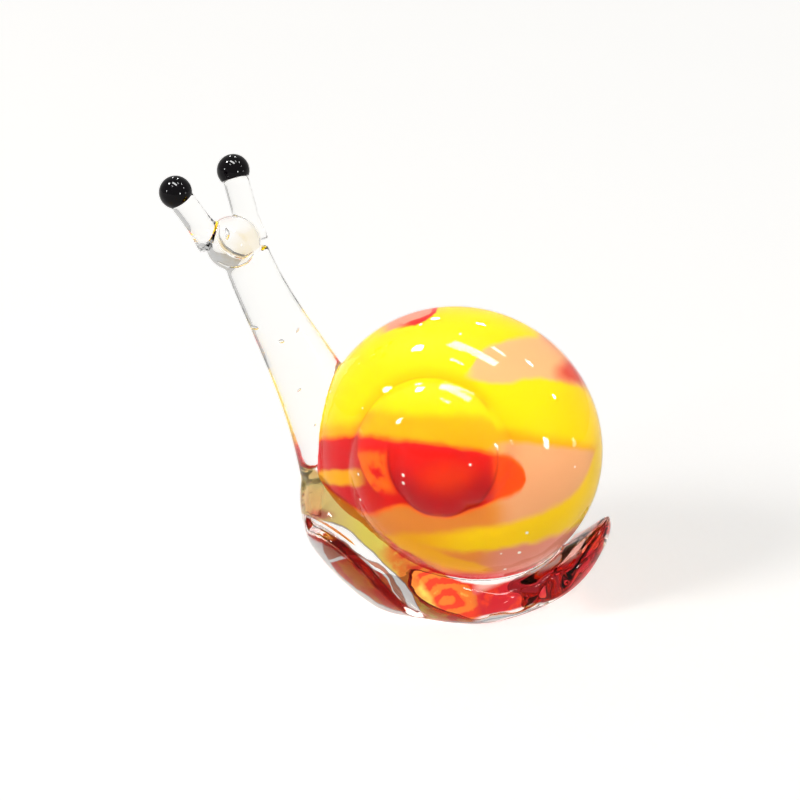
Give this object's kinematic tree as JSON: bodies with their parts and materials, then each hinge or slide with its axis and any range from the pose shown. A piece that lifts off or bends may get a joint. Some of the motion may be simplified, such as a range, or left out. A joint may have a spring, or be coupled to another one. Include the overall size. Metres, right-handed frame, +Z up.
{
  "type": "glass snail figurine",
  "caption": "Miniature hot-worked glass snail: clear foot, neck and eye stalks, black bead eyes, and a wound shell with coloured streaks under clear glass.",
  "frame": {"origin": "middle of the foot's flat base, on the surface it rests on", "axes": "+Z up, -X towards the head, +X towards the tail, -Y the snail's left side, with the shell's open spiral"},
  "size_m": [0.0314, 0.0149, 0.0306],
  "materials": {
    "clear_glass": "clear, fire-polished",
    "black_glass": "opaque, fire-polished",
    "peach_glass": "opaque, fire-polished",
    "yellow_glass": "opaque, fire-polished",
    "orange_glass": "translucent, fire-polished",
    "red_glass": "translucent, fire-polished"
  },
  "bodies": {
    "root": {"foot": "clear_glass", "neck": "clear_glass", "head": "clear_glass", "left_eye_stalk": "clear_glass", "right_eye_stalk": "clear_glass", "shell_casing": "clear_glass", "left_eye": "black_glass", "right_eye": "black_glass", "shell_core": "peach_glass", "crown_yellow_streak": "yellow_glass", "side_yellow_streak": "yellow_glass", "lower_yellow_streak": "yellow_glass", "orange_streak": "orange_glass", "red_streak": "red_glass", "belly_red_streak": "red_glass"}
  },
  "joints": []
}
